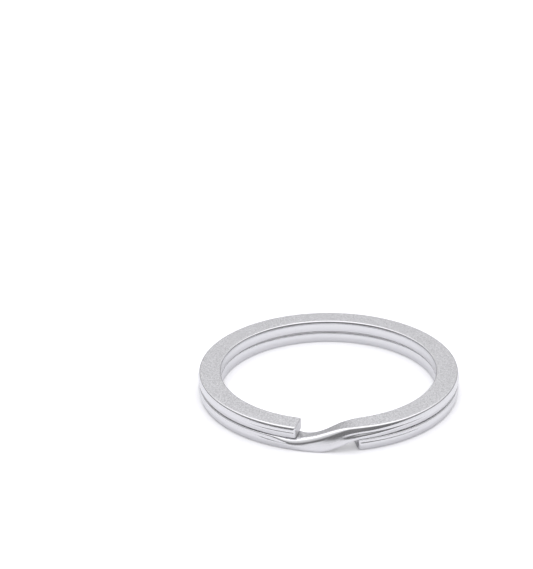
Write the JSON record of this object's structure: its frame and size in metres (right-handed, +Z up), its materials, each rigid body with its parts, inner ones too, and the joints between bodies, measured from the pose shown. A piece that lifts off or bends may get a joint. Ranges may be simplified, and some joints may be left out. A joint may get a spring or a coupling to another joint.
{
  "type": "split key ring",
  "caption": "Flat split key ring: spring-steel wire wound twice round, whose ends lift apart so that keys slide on between the turns.",
  "frame": {"origin": "centre of the ring, on the flat face that it lies on", "axes": "+Z up along the ring's axis, -Y to the front where the wire crosses from the upper turn to the lower turn, +X to the right"},
  "size_m": [0.03, 0.03, 0.0028],
  "materials": {
    "steel": "satin"
  },
  "bodies": {
    "ring_body": {"crossover": "steel", "fixed_upper_front": "steel", "fixed_upper_rear": "steel", "fixed_lower_front": "steel", "fixed_lower_rear": "steel"},
    "upper_back": {"upper_back": "steel"},
    "upper_rear_side": {"upper_rear_side": "steel"},
    "upper_front_side": {"upper_front_side": "steel"},
    "upper_tip": {"upper_tip": "steel"},
    "lower_back": {"lower_back": "steel"},
    "lower_rear_side": {"lower_rear_side": "steel"},
    "lower_front_side": {"lower_front_side": "steel"},
    "lower_tip": {"lower_tip": "steel"}
  },
  "joints": [
    {"name": "upper_back_flex", "type": "hinge", "parent": "ring_body", "child": "upper_back", "pos_m": [0, 0.015, 0.0028], "axis": [-0.9917, 0.1285, 0], "range_deg": [0, 1.6], "stiffness_Nm_per_rad": 0.0963},
    {"name": "upper_rear_side_flex", "type": "hinge", "parent": "upper_back", "child": "upper_rear_side", "pos_m": [-0.00994, 0.01123, 0.0028], "axis": [-0.9765, -0.2156, 0], "range_deg": [0, 2.89], "stiffness_Nm_per_rad": 0.0476},
    {"name": "upper_front_side_flex", "type": "hinge", "parent": "upper_rear_side", "child": "upper_front_side", "pos_m": [-0.01489, 0.00183, 0.0028], "axis": [-0.839, -0.5441, 0], "range_deg": [0, 2.2], "stiffness_Nm_per_rad": 0.0467},
    {"name": "upper_tip_flex", "type": "hinge", "parent": "upper_front_side", "child": "upper_tip", "pos_m": [-0.01236, -0.0085, 0.0028], "axis": [-0.5844, -0.8115, 0], "range_deg": [0, 1.2], "stiffness_Nm_per_rad": 0.046},
    {"name": "lower_back_flex", "type": "hinge", "parent": "ring_body", "child": "lower_back", "pos_m": [0, 0.015, 0], "axis": [0.9931, 0.1176, 0], "range_deg": [0, 1.58], "stiffness_Nm_per_rad": 0.0957},
    {"name": "lower_rear_side_flex", "type": "hinge", "parent": "lower_back", "child": "lower_rear_side", "pos_m": [0.01, 0.01118, 0], "axis": [0.9735, -0.2286, 0], "range_deg": [0, 2.86], "stiffness_Nm_per_rad": 0.0473},
    {"name": "lower_front_side_flex", "type": "hinge", "parent": "lower_rear_side", "child": "lower_front_side", "pos_m": [0.01491, 0.00167, 0], "axis": [0.8304, -0.5572, 0], "range_deg": [0, 2.19], "stiffness_Nm_per_rad": 0.0464},
    {"name": "lower_tip_flex", "type": "hinge", "parent": "lower_front_side", "child": "lower_tip", "pos_m": [0.01223, -0.00869, 0], "axis": [0.5695, -0.822, 0], "range_deg": [0, 1.19], "stiffness_Nm_per_rad": 0.0456}
  ],
  "couplings": [
    {"joint": "upper_rear_side_flex", "follows": "upper_back_flex", "ratio": 1.8037},
    {"joint": "upper_front_side_flex", "follows": "upper_back_flex", "ratio": 1.3762},
    {"joint": "upper_tip_flex", "follows": "upper_back_flex", "ratio": 0.7482},
    {"joint": "lower_rear_side_flex", "follows": "lower_back_flex", "ratio": 1.8085},
    {"joint": "lower_front_side_flex", "follows": "lower_back_flex", "ratio": 1.3825},
    {"joint": "lower_tip_flex", "follows": "lower_back_flex", "ratio": 0.7524}
  ]
}
